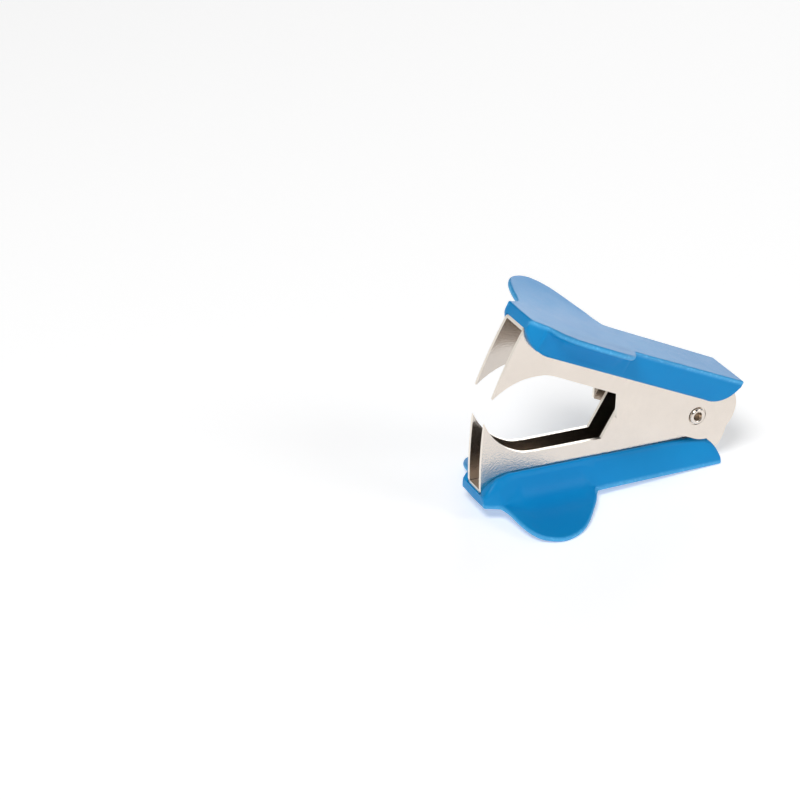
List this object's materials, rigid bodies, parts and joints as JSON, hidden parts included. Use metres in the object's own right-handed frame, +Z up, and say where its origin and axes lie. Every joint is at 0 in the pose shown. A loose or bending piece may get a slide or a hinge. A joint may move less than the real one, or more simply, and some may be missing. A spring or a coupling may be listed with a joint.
{
  "type": "staple remover",
  "caption": "Claw staple remover: two sprung steel jaws with curved claws, hinged on a rivet, with winged plastic finger grips pressed over their backs.",
  "frame": {"origin": "centre of the bounding box at its bottom, with the part standing level on the lower grip's wings and tail", "axes": "+X from the claws to the pivot and tail, +Y across the jaws along the rivet towards its head, +Z up"},
  "size_m": [0.0624, 0.0394, 0.0451],
  "materials": {
    "plated_steel": "satin plated, fine grain, bright sheared edges",
    "rivet_steel": "bright plated",
    "spring_wire": "drawn wire",
    "blue_plastic": "semi-gloss moulded"
  },
  "bodies": {
    "lower_body": {"lower_jaw": "plated_steel", "lower_grip": "blue_plastic", "pivot_rivet": "rivet_steel", "torsion_spring": "spring_wire"},
    "upper_body": {"upper_jaw": "plated_steel", "upper_grip": "blue_plastic"}
  },
  "joints": [
    {"name": "jaw_hinge", "type": "hinge", "parent": "lower_body", "child": "upper_body", "pos_m": [0.02032, 0, 0.01295], "axis": [0, -1, 0], "range_deg": [0, 23.5], "stiffness_Nm_per_rad": 0.26, "springref_deg": -10.89, "deforming": ["torsion_spring"]}
  ]
}
